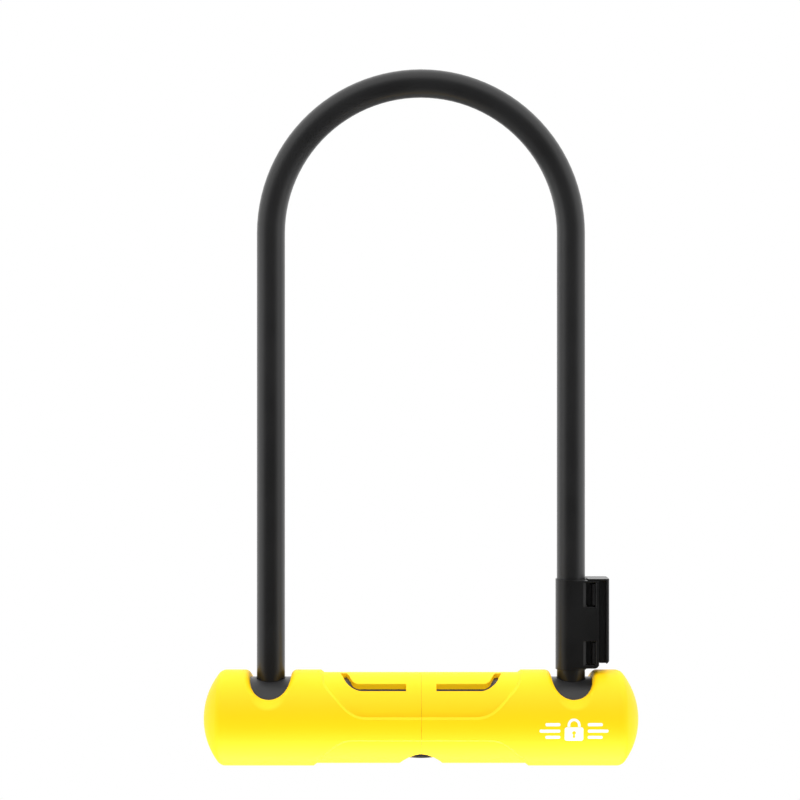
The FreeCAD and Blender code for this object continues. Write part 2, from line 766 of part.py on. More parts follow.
def make_cam():
    # two spiral slots push the drive pins out by the same amount for each degree of turn
    disc = rod("cam_blank", "dims.cam_diameter", "dims.cam_top - dims.cam_bottom",
               ("0", "0", "dims.cam_bottom"))
    square_side = "dims.tail_width / 2 + dims.tail_play"
    square = mid_block("cam_square", "-(%s)" % square_side, square_side,
                       "dims.tail_width + 2 * dims.tail_play", "0", "dims.cover_diameter")
    slots = doc.addObject("Part::Feature", "cam_slots")
    slots.Shape = spiral_slots()
    keep_on_axis(cut("cam_solid", disc, square, slots), "cam_disc")


def spiral_slots():
    start_radius = size["drive_pin_place"]
    rate = size["bolt_travel"] / (math.pi / 2)
    half = size["cam_slot_width"] / 2
    over = math.radians(size["cam_overtravel_angle"])
    steps = 12
    angles = [-over + (math.pi / 2 + 2 * over) * i / steps for i in range(steps + 1)]

    def slot_point(angle, aside, forward=0.0):
        # the cam turns under a pin that stays on the X axis, so the spiral runs backwards
        radius = start_radius + rate * angle
        radial = Vector(math.cos(-angle), math.sin(-angle), 0)
        tangent = Vector(radial.y, -radial.x, 0) * radius + radial * rate
        tangent.normalize()
        normal = Vector(-tangent.y, tangent.x, 0)
        return radial * radius + normal * aside + tangent * forward

    left = Part.BSplineCurve()
    left.interpolate([slot_point(angle, half) for angle in angles])
    right = Part.BSplineCurve()
    right.interpolate([slot_point(angle, -half) for angle in reversed(angles)])
    first = angles[0]
    last = angles[-1]
    far_end = Part.Arc(slot_point(last, half), slot_point(last, 0, half), slot_point(last, -half))
    near_end = Part.Arc(slot_point(first, -half), slot_point(first, 0, -half), slot_point(first, half))
    outline = Part.Wire([left.toShape(), far_end.toShape(), right.toShape(), near_end.toShape()])
    slot = Part.Face(outline).extrude(Vector(0, 0, size["cover_diameter"]))
    other = slot.copy()
    other.rotate(Vector(), Vector(0, 0, 1), 180)
    return slot.fuse(other)


def make_shutter():
    plate = mid_block("shutter_plate", "-dims.shutter_width / 2", "dims.shutter_width / 2",
                      "dims.shutter_length", "-dims.shutter_height",
                      "-dims.shutter_height + dims.shutter_thickness")
    keep_on_axis(ramped("keyhole_shutter_solid", plate), "keyhole_shutter")

    # its return spring, pressed between the shutter and the end of its pocket
    coil = (size["spring_diameter"] - size["spring_wire"]) / 2
    length = size["spring_length"] - size["shutter_clearance"] - size["spring_wire"]
    helix = Part.makeHelix(length / spring_turns, length, coil)
    start = Vector(coil, 0, 0)
    section = Part.Wire(Part.makeCircle(size["spring_wire"] / 2, start, Vector(0, 1, 0)))
    wire = Part.Wire(helix).makePipeShell([section], True, True)
    spring = doc.addObject("Part::Feature", "shutter_spring_coil")
    spring.Shape = wire
    spring.Placement = Placement(Vector(), turns["X"])
    put(spring, ("dims.shutter_width / 2 + dims.shutter_clearance / 2 + dims.spring_wire / 2", "0",
                 axis_height + " - dims.shutter_height + dims.shutter_thickness / 2"))
    keep(spring, "shutter_spring")


def ramped(name, plate):
    # the ramp that the key's nose presses aside
    ramp = doc.addObject("Part::Wedge", name + "_ramp")
    bind(ramp, {"Xmin": "0", "Xmax": "dims.keyway_width / 2", "X2min": "0", "X2max": "dims.ramp_tip",
                "Ymin": "0", "Ymax": "dims.shutter_thickness / 2",
                "Zmin": "-dims.keyway_length / 4", "Zmax": "dims.keyway_length / 4",
                "Z2min": "-dims.keyway_length / 4", "Z2max": "dims.keyway_length / 4"})
    ramp.Placement = Placement(Vector(), Rotation(Vector(1, 0, 0), -90))
    put(ramp, ("-dims.shutter_width / 2", "0", "-dims.shutter_height"))
    return cut(name, plate, ramp)


# Shackle

def swept_bar(name, bottom, diameters):
    # a bar bent to a U: two straight legs and a half-round arch
    body = doc.addObject("PartDesign::Body", name + "_body")
    half = size["leg_spacing"] / 2
    top = size["arch_height"]
    path = sketch_on(body, "XZ_Plane", name + "_path")
    right = path.addGeometry(Part.LineSegment(Vector(half, 0, 0), Vector(half, top, 0)), False)
    round_top = Part.Circle(Vector(0, top, 0), Vector(0, 0, 1), half)
    arch = path.addGeometry(Part.ArcOfCircle(round_top, 0, math.pi), False)
    left = path.addGeometry(Part.LineSegment(Vector(-half, top, 0), Vector(-half, 0, 0)), False)
    path.addConstraint(Sketcher.Constraint("Coincident", right, 2, arch, 1))
    path.addConstraint(Sketcher.Constraint("Coincident", arch, 2, left, 1))
    pin_point(path, right, 1, (leg_place, bottom), (half, 0.0))
    pin_point(path, right, 2, (leg_place, "dims.arch_height"), (half, top))
    level = path.addConstraint(Sketcher.Constraint("DistanceY", -1, 1, arch, 3, top))
    path.setExpression("Constraints[%d]" % level, "dims.arch_height")
    pin_point(path, left, 1, ("-" + leg_place, "dims.arch_height"), (-half, top))
    pin_point(path, left, 2, ("-" + leg_place, bottom), (-half, 0.0))
    section = sketch_on(body, "XY_Plane", name + "_section")
    section.setExpression("AttachmentOffset.Base.z", bottom)
    for diameter in diameters:
        draw_circle(section, diameter, (leg_place, "0"))
    doc.recompute()
    pipe = body.newObject("PartDesign::AdditivePipe", name + "_sweep")
    pipe.Profile = section
    pipe.Spine = (path, ["Edge1", "Edge2", "Edge3"])
    doc.recompute()
    return body, pipe


def make_shackle():
    body, pipe = swept_bar("shackle_core", "-dims.leg_end", ["dims.bar_diameter"])
    ends = edges_where(pipe.Shape, lambda p: abs(p.z + size["leg_end"]) < near)
    chamfer = body.newObject("PartDesign::Chamfer", "shackle_leg_ends")
    chamfer.Base = (pipe, ["Edge%d" % number for number in ends])
    chamfer.setExpression("Size", "dims.leg_end_chamfer")
    notches = sketch_on(body, "XZ_Plane", "shackle_notches")
    low = "-dims.bolt_bottom - dims.notch_play"
    high = "dims.bolt_top + dims.notch_play"
    inner = "dims.leg_spacing / 2 - dims.bar_diameter"
    draw_rectangle(notches, inner, "dims.notch_floor", low, high)
    draw_rectangle(notches, "-dims.notch_floor", "-(%s)" % inner, low, high)
    pocket_both(body, notches)
    keep_on_axis(body, "shackle_bar")

    skin, _ = swept_bar("shackle_skin", "dims.coating_start",
                        ["dims.coating_diameter", "dims.bar_diameter"])
    keep_on_axis(skin, "shackle_coating")


# Bracket clip

def make_clip():
    body = doc.addObject("PartDesign::Body", "clip_shell")
    sleeve_side = "dims.sleeve_diameter / 2"
    sleeve = sketch_on(body, "XY_Plane", "clip_sleeve")
    sleeve.setExpression("AttachmentOffset.Base.z", "dims.clip_bottom")
    draw_circle(sleeve, "dims.sleeve_diameter")
    feature(body, "Pad", sleeve, {}, {"Length": "dims.sleeve_top - dims.clip_bottom"})
    cheeks = sketch_on(body, "XY_Plane", "clip_cheeks")
    cheeks.setExpression("AttachmentOffset.Base.z", "dims.clip_bottom + dims.cheek_lift")
    draw_rectangle(cheeks, "0", "dims.cheek_reach", "-" + sleeve_side, sleeve_side)
    block_pad = feature(body, "Pad", cheeks, {}, {"Length": "dims.clip_height - dims.cheek_lift"})
    doc.recompute()
    reach = size["cheek_reach"]
    low = size["clip_bottom"] + size["cheek_lift"]
    corner = edges_where(block_pad.Shape, lambda p: abs(p.x - reach) < near and abs(p.z - low) < near)
    rounding = body.newObject("PartDesign::Fillet", "clip_lower_corner")
    rounding.Base = (block_pad, ["Edge%d" % number for number in corner])
    rounding.setExpression("Radius", "dims.cheek_corner")
    doc.recompute()
    bore = sketch_on(body, "XY_Plane", "clip_bore")
    draw_circle(bore, "dims.sleeve_bore")
    pocket_long(body, bore)
    slot = sketch_on(body, "XY_Plane", "clip_slot")
    draw_rectangle(slot, "dims.cheek_slot_start", "dims.cheek_reach + dims.overcut",
                   "-dims.cheek_gap / 2", "dims.cheek_gap / 2")
    pocket_long(body, slot)
    windows = sketch_on(body, "XZ_Plane", "clip_windows")
    for level in ("low", "high"):
        draw_rectangle(windows, "dims.window_start", "dims.window_end",
                       "dims.window_%s_bottom" % level, "dims.window_%s_top" % level)
    opened = pocket_both(body, windows)
    doc.recompute()
    end = size["window_end"]
    outside = size["sleeve_diameter"] / 2
    ends = edges_where(opened.Shape, lambda p: abs(abs(p.y) - outside) < near and abs(p.x - end) < near)
    broken = body.newObject("PartDesign::Chamfer", "clip_window_ends")
    broken.Base = (opened, ["Edge%d" % number for number in ends])
    broken.setExpression("Size", "dims.window_chamfer")
    for level in ("low", "high"):
        slope_window(body, "dims.window_%s_bottom" % level, "dims.window_%s_top" % level)
    put(body, (leg_place, "0", axis_height))
    keep(body, "clip_body")


def slope_window(body, bottom, top):
    # beside the leg the cheeks slope into each window
    sketch = sketch_on(body, "XY_Plane", "clip_window_slope")
    sketch.setExpression("AttachmentOffset.Base.z", bottom)
    start = "dims.window_start"
    inside = start + " + dims.overcut"
    outer = "(dims.sleeve_diameter / 2)"
    beyond = "(dims.sleeve_diameter / 2 + dims.overcut)"
    deep = "(dims.sleeve_diameter / 2 - dims.slope_depth)"
    for side in ("", "-"):
        draw_outline(sketch, [
            (start + " - dims.slope_width", side + outer),
            (start, side + deep),
            (inside, side + deep),
            (inside, side + beyond),
            (start + " - dims.slope_width", side + beyond),
        ])
    feature(body, "Pocket", sketch, {"Reversed": True}, {"Length": "%s - %s" % (top, bottom)})


def pocket_long(body, sketch):
    return feature(body, "Pocket", sketch, {"Reversed": True}, {"Length": "4 * dims.sleeve_top"})


def make_rail():
    # the bracket's rail: a tongue between the cheeks, a lid on top and a T-shaped rib outside
    top = "dims.clip_bottom + dims.clip_height"
    bottom = "dims.rail_bottom"
    lip_root = "dims.rail_lip_start + dims.rail_overlap"
    tongue = mid_block("rail_tongue", "dims.cheek_slot_start + dims.rail_overlap", "dims.rail_neck_start",
                       "dims.tongue_width", "dims.clip_bottom + dims.tongue_lift", top)
    plate = mid_block("rail_plate", "dims.cheek_reach - dims.plate_thickness", "dims.cheek_reach",
                      "dims.cheek_gap - dims.plate_play", "dims.clip_bottom + dims.plate_lift", top)
    neck = mid_block("rail_neck", "dims.cheek_reach - dims.rail_overlap", lip_root,
                     "dims.rail_neck_width", bottom, top)
    shoulder = mid_block("rail_shoulder", "dims.rail_neck_start", lip_root, "dims.shoulder_width",
                         bottom, top)
    lip = mid_block("rail_lip", "dims.rail_lip_start", "dims.rail_reach", "dims.rail_width", bottom, top)
    lid = mid_block("rail_lid", "dims.sleeve_diameter / 2 + dims.plate_play", "dims.lid_reach",
                    "dims.rail_width", top, top + " + dims.lid_thickness")
    catches = []
    for level in ("low", "high"):
        catches += rail_catches("dims.window_%s_bottom" % level, "dims.window_%s_top" % level)
    whole = fuse("rail_blank", tongue, plate, neck, shoulder, lip, lid, *catches)
    doc.recompute()
    reach = size["rail_reach"]
    foot = size["rail_bottom"]
    side = size["rail_width"] / 2
    corner = edges_where(whole.Shape, lambda p: abs(p.x - reach) < near and abs(p.z - foot) < near)
    ribs = edges_where(whole.Shape, lambda p: abs(p.x - reach) < near and abs(abs(p.y) - side) < near)
    rail = doc.addObject("Part::Chamfer", "rail_solid")
    rail.Base = whole
    rail.Edges = ([(number, size["rail_corner"], size["rail_corner"]) for number in corner]
                  + [(number, size["rail_edge"], size["rail_edge"]) for number in ribs])
    put(rail, (leg_place, "0", axis_height))
    keep(rail, "clip_rail")


def rail_catches(bottom, top):
    # behind each window a stop closes the gap beside the leg, and a snap fills the far side
    stop = mid_block("rail_stop", "dims.sleeve_bore / 2 + dims.window_play",
                     "dims.cheek_slot_start + dims.stop_overlap", "dims.tongue_width",
                     bottom + " + dims.window_play", top + " - dims.window_play")
    snap = mid_block("rail_snap", "dims.window_end - dims.snap_thickness", "dims.cheek_reach",
                     "dims.snap_width", bottom + " + dims.snap_play", top + " - dims.snap_play")
    nose_end = "dims.window_end - dims.nose_inset"
    nose = mid_block("rail_snap_nose", nose_end + " - dims.nose_length", nose_end,
                     "dims.sleeve_diameter - 2 * dims.snap_play - dims.window_play",
                     bottom + " + dims.snap_play + dims.window_play",
                     top + " - dims.snap_play - dims.window_play")
    return [stop, snap, nose]


# Build, test and write

make_covers()
make_tube()
make_end_plugs()
make_leg_sockets()
make_pins()
make_carrier()
make_bolts()
make_cylinder()
make_plug()
make_wafers()
make_cam()
make_shutter()
make_shackle()
make_clip()
make_rail()
doc.recompute()

for thing in doc.Objects:
    if "Invalid" in thing.State or "Error" in thing.State:
        raise RuntimeError("%s failed: %s" % (thing.Label, thing.State))
for node in nodes:
    if node.Shape.isNull() or not node.Shape.isValid():
        raise RuntimeError("%s has a bad shape" % node.Label)

os.makedirs("parts", exist_ok=True)
for node in nodes:
    node.Shape.exportStep("parts/%s.step" % node.Label)
    box = node.Shape.BoundBox
    print("%-20s solids %d  volume %9.1f  x %7.2f %7.2f  y %7.2f %7.2f  z %7.2f %7.2f" % (
        node.Label, len(node.Shape.Solids), node.Shape.Volume,
        box.XMin, box.XMax, box.YMin, box.YMax, box.ZMin, box.ZMax))
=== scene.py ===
import json
import math
import bmesh
import bpy
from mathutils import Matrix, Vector


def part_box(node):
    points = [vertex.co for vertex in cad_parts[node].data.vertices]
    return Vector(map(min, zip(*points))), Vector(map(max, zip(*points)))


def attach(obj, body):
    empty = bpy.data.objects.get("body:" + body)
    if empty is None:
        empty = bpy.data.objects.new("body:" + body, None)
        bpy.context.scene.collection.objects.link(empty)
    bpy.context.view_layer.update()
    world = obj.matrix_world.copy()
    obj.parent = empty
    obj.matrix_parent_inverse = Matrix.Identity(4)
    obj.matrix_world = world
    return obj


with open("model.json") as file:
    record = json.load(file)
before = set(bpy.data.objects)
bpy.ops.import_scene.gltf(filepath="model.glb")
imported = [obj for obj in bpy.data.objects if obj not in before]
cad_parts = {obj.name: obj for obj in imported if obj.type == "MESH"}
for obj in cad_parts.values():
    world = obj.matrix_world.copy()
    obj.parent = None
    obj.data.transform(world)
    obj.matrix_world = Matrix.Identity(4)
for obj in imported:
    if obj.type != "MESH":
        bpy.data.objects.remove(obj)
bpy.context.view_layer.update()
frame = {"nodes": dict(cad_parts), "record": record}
nodes = frame["nodes"]
mm = 0.001
print("frame loaded:", len(nodes), "nodes")


# small helpers for shader trees

def addNode(tree, kind, settings=None, values=None):
    node = tree.nodes.new(kind)
    for name, value in (settings or {}).items():
        setattr(node, name, value)
    for name, value in (values or {}).items():
        node.inputs[name].default_value = value
    return node


def feed(tree, socket, value):
    # a number is set on the socket, and another node's output is linked to it
    if isinstance(value, (int, float)):
        socket.default_value = value
    else:
        tree.links.new(value, socket)


def mathNode(tree, operation, *values):
    node = addNode(tree, "ShaderNodeMath", {"operation": operation})
    for socket, value in zip(node.inputs, values):
        feed(tree, socket, value)
    return node.outputs[0]


def rangeNode(tree, source, fromLimits, toLimits, smooth=False):
    node = addNode(tree, "ShaderNodeMapRange")
    if smooth:
        node.interpolation_type = "SMOOTHSTEP"
    names = ("Value", "From Min", "From Max", "To Min", "To Max")
    for name, value in zip(names, (source, *fromLimits, *toLimits)):
        feed(tree, node.inputs[name], value)
    return node.outputs["Result"]


def blendValues(tree, share, first, second):
    return rangeNode(tree, share, (0.0, 1.0), (first, second))


def blendColors(tree, share, first, second):
    node = addNode(tree, "ShaderNodeMix", {"data_type": "RGBA"})
    for name, value in (("Factor", share), ("A", first), ("B", second)):
        tree.links.new(value, node.inputs[name])
    return node.outputs["Result"]


def newGroup(name, inputs, outputs):
    tree = bpy.data.node_groups.new(name, "ShaderNodeTree")
    for socketName, kind, value in inputs:
        socket = tree.interface.new_socket(name=socketName, in_out="INPUT", socket_type=kind)
        socket.default_value = value
    for socketName, kind in outputs:
        tree.interface.new_socket(name=socketName, in_out="OUTPUT", socket_type=kind)
    start = tree.nodes.new("NodeGroupInput")
    end = tree.nodes.new("NodeGroupOutput")
    return tree, start.outputs, end.inputs


surfaceOutputs = [
    ("Color", "NodeSocketColor"),
    ("Roughness", "NodeSocketFloat"),
    ("Height", "NodeSocketFloat"),
]
noiseSpread = (0.3, 0.7)         # the part of a noise's range that it really fills

grainLook = {
    "grainShare": 0.6,           # of the gloss, and the drift has the rest
    "driftEdges": (0.35, 0.65),  # between them one colour turns into the other
}


def buildMouldedGrain():
    # fine grain of a moulded or sprayed surface, with a slow drift of colour and gloss
    tree, given, out = newGroup("mouldedGrain", [
        ("Color", "NodeSocketColor", (0.5, 0.5, 0.5, 1)),
        ("Drift Color", "NodeSocketColor", (0.4, 0.4, 0.4, 1)),
        ("Drift Amount", "NodeSocketFloat", 0.3),
        ("Grains Per Metre", "NodeSocketFloat", 2000.0),
        ("Drifts Per Metre", "NodeSocketFloat", 40.0),
        ("Rough Low", "NodeSocketFloat", 0.3),
        ("Rough High", "NodeSocketFloat", 0.4),
    ], surfaceOutputs)
    place = addNode(tree, "ShaderNodeTexCoord").outputs["Object"]
    grain = addNode(tree, "ShaderNodeTexNoise", values={"Detail": 3.0, "Roughness": 0.6})
    drift = addNode(tree, "ShaderNodeTexNoise", values={"Detail": 2.0, "Roughness": 0.5})
    for noise, scale in ((grain, "Grains Per Metre"), (drift, "Drifts Per Metre")):
        tree.links.new(place, noise.inputs["Vector"])
        tree.links.new(given[scale], noise.inputs["Scale"])
    slow = rangeNode(tree, drift.outputs["Fac"], grainLook["driftEdges"],
                     (0.0, given["Drift Amount"]), smooth=True)
    tree.links.new(blendColors(tree, slow, given["Color"], given["Drift Color"]), out["Color"])
    share = grainLook["grainShare"]
    gloss = mathNode(tree, "ADD", mathNode(tree, "MULTIPLY", grain.outputs["Fac"], share),
                     mathNode(tree, "MULTIPLY", drift.outputs["Fac"], 1 - share))
    rough = rangeNode(tree, gloss, noiseSpread, (given["Rough Low"], given["Rough High"]))
    tree.links.new(rough, out["Roughness"])
    tree.links.new(grain.outputs["Fac"], out["Height"])
    return tree


markLook = {
    "handledPerMetre": 90.0,     # size of the patches that hands have dulled
    "dullEdges": (0.1, 0.5),     # between them the metal turns dull
}


def buildToolMarks():
    # the lines that a lathe, a grinder or a brush leaves, long in one direction
    tree, given, out = newGroup("toolMarks", [
        ("Color", "NodeSocketColor", (0.6, 0.6, 0.6, 1)),
        ("Dull Color", "NodeSocketColor", (0.4, 0.4, 0.4, 1)),
        ("Lines Per Metre", "NodeSocketVector", (60.0, 4000.0, 4000.0)),
        ("Rough Low", "NodeSocketFloat", 0.2),
        ("Rough High", "NodeSocketFloat", 0.4),
    ], surfaceOutputs)
    place = addNode(tree, "ShaderNodeTexCoord").outputs["Object"]
    stretched = addNode(tree, "ShaderNodeVectorMath", {"operation": "MULTIPLY"})
    tree.links.new(place, stretched.inputs[0])
    tree.links.new(given["Lines Per Metre"], stretched.inputs[1])
    lines = addNode(tree, "ShaderNodeTexNoise", values={"Scale": 1.0, "Detail": 4.0, "Roughness": 0.65})
    tree.links.new(stretched.outputs["Vector"], lines.inputs["Vector"])
    patches = {"Scale": markLook["handledPerMetre"], "Detail": 2.0}
    handled = addNode(tree, "ShaderNodeTexNoise", values=patches)
    tree.links.new(place, handled.inputs["Vector"])
    dull = mathNode(tree, "MULTIPLY", lines.outputs["Fac"], handled.outputs["Fac"])
    dulled = rangeNode(tree, dull, markLook["dullEdges"], (0.0, 1.0))
    tree.links.new(blendColors(tree, dulled, given["Color"], given["Dull Color"]), out["Color"])
    rough = rangeNode(tree, lines.outputs["Fac"], noiseSpread, (given["Rough Low"], given["Rough High"]))
    tree.links.new(rough, out["Roughness"])
    tree.links.new(lines.outputs["Fac"], out["Height"])
    return tree


def buildSoftEdge():
    # no moulded or machined edge is perfectly sharp, so the normal turns round it
    tree, given, out = newGroup("softEdge", [("Radius", "NodeSocketFloat", 0.2 * mm)],
                                [("Normal", "NodeSocketVector")])
    bevel = addNode(tree, "ShaderNodeBevel", {"samples": 6})
    tree.links.new(given["Radius"], bevel.inputs["Radius"])
    tree.links.new(bevel.outputs["Normal"], out["Normal"])
    return tree


mouldedGrain = buildMouldedGrain()
toolMarks = buildToolMarks()
softEdge = buildSoftEdge()
print("shader groups built")


# finishes: depth is the height of the bumps, and edge is how round a sharp edge looks

bumpStrength = 0.6


def makeFinish(name, group, values, depth, edge=0.0, metallic=0.0, specular=0.5):
    material = bpy.data.materials.new(name)
    material.use_nodes = True
    tree = material.node_tree
    shader = tree.nodes["Principled BSDF"]
    shader.inputs["Metallic"].default_value = metallic
    shader.inputs["Specular IOR Level"].default_value = specular
    surface = addNode(tree, "ShaderNodeGroup", {"node_tree": group}, values)
    tree.links.new(surface.outputs["Color"], shader.inputs["Base Color"])
    tree.links.new(surface.outputs["Roughness"], shader.inputs["Roughness"])
    bump = addNode(tree, "ShaderNodeBump", values={"Distance": depth, "Strength": bumpStrength})
    tree.links.new(surface.outputs["Height"], bump.inputs["Height"])
    tree.links.new(bump.outputs["Normal"], shader.inputs["Normal"])
    if edge:
        rounding = addNode(tree, "ShaderNodeGroup", {"node_tree": softEdge}, {"Radius": edge})
        tree.links.new(rounding.outputs["Normal"], bump.inputs["Normal"])
    return material


def shade(r, g, b):
    return (r, g, b, 1.0)


yellowShell = makeFinish("yellowShell", mouldedGrain, {
    "Color": shade(0.96, 0.59, 0.004),
    "Drift Color": shade(0.95, 0.565, 0.0036),
    "Drift Amount": 0.4,
    "Grains Per Metre": 1400.0,
    "Drifts Per Metre": 30.0,
    "Rough Low": 0.44,
    "Rough High": 0.52,
}, depth=0.008 * mm, specular=0.15)

tubePaint = makeFinish("tubePaint", mouldedGrain, {
    "Color": shade(0.010, 0.010, 0.0105),
    "Drift Color": shade(0.016, 0.016, 0.017),
    "Drift Amount": 0.6,
    "Grains Per Metre": 2600.0,
    "Drifts Per Metre": 60.0,
    "Rough Low": 0.30,
    "Rough High": 0.42,
}, depth=0.02 * mm)

legCoating = makeFinish("legCoating", mouldedGrain, {
    "Color": shade(0.0075, 0.0075, 0.0078),
    "Drift Color": shade(0.012, 0.012, 0.0125),
    "Drift Amount": 0.5,
    "Grains Per Metre": 1800.0,
    "Drifts Per Metre": 45.0,
    "Rough Low": 0.30,
    "Rough High": 0.40,
}, depth=0.012 * mm)

clipNylon = makeFinish("clipNylon", mouldedGrain, {
    "Color": shade(0.006, 0.006, 0.0062),
    "Drift Color": shade(0.009, 0.009, 0.0094),
    "Drift Amount": 0.5,
    "Grains Per Metre": 3200.0,
    "Drifts Per Metre": 90.0,
    "Rough Low": 0.28,
    "Rough High": 0.38,
}, depth=0.015 * mm, edge=0.25 * mm, specular=0.35)

castZinc = makeFinish("castZinc", mouldedGrain, {
    "Color": shade(0.50, 0.50, 0.51),
    "Drift Color": shade(0.36, 0.36, 0.37),
    "Drift Amount": 0.8,
    "Grains Per Metre": 900.0,
    "Drifts Per Metre": 120.0,
    "Rough Low": 0.42,
    "Rough High": 0.62,
}, depth=0.04 * mm, edge=0.2 * mm, metallic=1.0)

shackleSteel = makeFinish("shackleSteel", toolMarks, {
    "Color": shade(0.56, 0.56, 0.57),
    "Dull Color": shade(0.38, 0.37, 0.36),
    "Lines Per Metre": (3000.0, 3000.0, 80.0),
    "Rough Low": 0.24,
    "Rough High": 0.42,
}, depth=0.01 * mm, edge=0.2 * mm, metallic=1.0)

groundSteel = makeFinish("groundSteel", toolMarks, {
    "Color": shade(0.62, 0.62, 0.63),
    "Dull Color": shade(0.46, 0.46, 0.46),
    "Lines Per Metre": (90.0, 3600.0, 3600.0),
    "Rough Low": 0.18,
    "Rough High": 0.34,
}, depth=0.008 * mm, edge=0.15 * mm, metallic=1.0)

platedSteel = makeFinish("platedSteel", toolMarks, {
    "Color": shade(0.66, 0.66, 0.68),
    "Dull Color": shade(0.50, 0.50, 0.50),
    "Lines Per Metre": (2400.0, 120.0, 2400.0),
    "Rough Low": 0.16,
    "Rough High": 0.3,
}, depth=0.006 * mm, edge=0.12 * mm, metallic=1.0)

platedBrass = makeFinish("platedBrass", toolMarks, {
    "Color": shade(0.60, 0.58, 0.54),
    "Dull Color": shade(0.44, 0.42, 0.38),
    "Lines Per Metre": (160.0, 160.0, 5200.0),
    "Rough Low": 0.18,
    "Rough High": 0.34,
}, depth=0.008 * mm, edge=0.1 * mm, metallic=1.0)

printedWhite = makeFinish("printedWhite", mouldedGrain, {
    "Color": shade(0.93, 0.93, 0.90),
    "Drift Color": shade(0.88, 0.87, 0.80),
    "Drift Amount": 0.5,
    "Grains Per Metre": 2400.0,
    "Drifts Per Metre": 200.0,
    "Rough Low": 0.38,
    "Rough High": 0.5,
}, depth=0.004 * mm)

finishes = {
    "yellow_shell": yellowShell,
    "black_tube": tubePaint,
    "black_coating": legCoating,
    "black_plastic": clipNylon,
    "shackle_steel": shackleSteel,
    "bolt_steel": groundSteel,
    "steel_fastener": platedSteel,
    "zinc_casting": castZinc,
    "cylinder_brass": platedBrass,
}


def dressNodes():
    # each node takes the finish of its material slot in the record
    for part in frame["record"]["subparts"]:
        piece = nodes[part["node"]]
        piece.data.materials.clear()
        piece.data.materials.append(finishes[part["material_slot"]])


dressNodes()
print("finishes on", len(nodes), "nodes")


# the printed mark on the right cover: a plain padlock between short bars

printedMark = {
    "centre": 58.9 * mm,         # along the crossbar
    "drop": 1.95 * mm,           # below the crossbar's axis
    "lift": 0.012 * mm,          # how far the ink stands off the cover
    "strip": 0.5 * mm,           # height of the strips that bend round the cover
    "stripReach": 6.0 * mm,      # how far above and below the middle they are cut
}

padlock = {
    "width": 7.2 * mm,
    "height": 5.4 * mm,
    "corner": 0.8 * mm,
    "bowRadius": 2.5 * mm,
    "bowThickness": 1.0 * mm,
    "bowGap": 0.25 * mm,         # between the body and the bow's feet
    "bowRise": 0.9 * mm,         # from the body to where the bow begins to bend
    "eyeRise": 0.5 * mm,         # of the keyhole's round eye over the body's middle
    "eyeRadius": 0.75 * mm,
    "eyeAngles": (-60, 240),     # the eye is open towards the slot
    "slotDrop": 1.5 * mm,
    "slotWidth": 1.2 * mm,
}

speedBars = {
    "length": 8.0 * mm,
    "shortLength": 0.72,         # of the outer bars, as a part of the middle one's
    "height": 1.2 * mm,
    "corner": 0.5 * mm,
    "step": 2.5 * mm,
    "place": 9.3 * mm,           # from the mark's middle to the long bar's middle
}

arcSteps = 12
cornerSteps = 5


def arcPoints(centreX, centreY, radius, start, end, steps=arcSteps):
    points = []
    for step in range(steps + 1):
        angle = math.radians(start + (end - start) * step / steps)
        points.append((centreX + radius * math.cos(angle), centreY + radius * math.sin(angle)))
    return points


def roundedBar(centreX, centreY, width, height, radius):
    x = width / 2 - radius
    y = height / 2 - radius
    points = []
    for signX, signY, start in ((1, 1, 0), (-1, 1, 90), (-1, -1, 180), (1, -1, 270)):
        points += arcPoints(centreX + signX * x, centreY + signY * y, radius,
                            start, start + 90, cornerSteps)
    return points


def padlockOutlines():
    outer = padlock["bowRadius"]
    inner = outer - padlock["bowThickness"]
    middle = -outer / 2
    top = middle + padlock["height"] / 2
    foot = top + padlock["bowGap"]
    bend = top + padlock["bowRise"]
    body = roundedBar(0, middle, padlock["width"], padlock["height"], padlock["corner"])
    bow = [(outer, foot), *arcPoints(0, bend, outer, 0, 180), (-outer, foot)]
    bow += [(-inner, foot), *arcPoints(0, bend, inner, 180, 0), (inner, foot)]
    slot = padlock["slotWidth"] / 2
    slotEnd = middle - padlock["slotDrop"]
    eye = arcPoints(0, middle + padlock["eyeRise"], padlock["eyeRadius"], *padlock["eyeAngles"])
    keyhole = eye + [(-slot, slotEnd), (slot, slotEnd)]
    return [body, bow, keyhole]


def barOutlines():
    outlines = []
    near = speedBars["place"] - speedBars["length"] / 2
    for side in (1, -1):
        for row in (-1, 0, 1):
            length = speedBars["length"] * (1.0 if row == 0 else speedBars["shortLength"])
            outlines.append(roundedBar(side * (near + length / 2), row * speedBars["step"], length,
                                       speedBars["height"], speedBars["corner"]))
    return outlines


def flatPrint(outlines):
    # outlines inside one another leave holes, as ink does round a letter's eye
    curve = bpy.data.curves.new("markOutline", "CURVE")
    curve.dimensions = "2D"
    curve.fill_mode = "BOTH"
    for outline in outlines:
        spline = curve.splines.new("POLY")
        spline.points.add(len(outline) - 1)
        for point, (x, y) in zip(spline.points, outline):
            point.co = (x, y, 0, 1)
        spline.use_cyclic_u = True
    drawn = bpy.data.objects.new("markOutline", curve)
    mesh = bpy.data.meshes.new_from_object(drawn)
    bpy.data.objects.remove(drawn)
    bpy.data.curves.remove(curve)
    return mesh


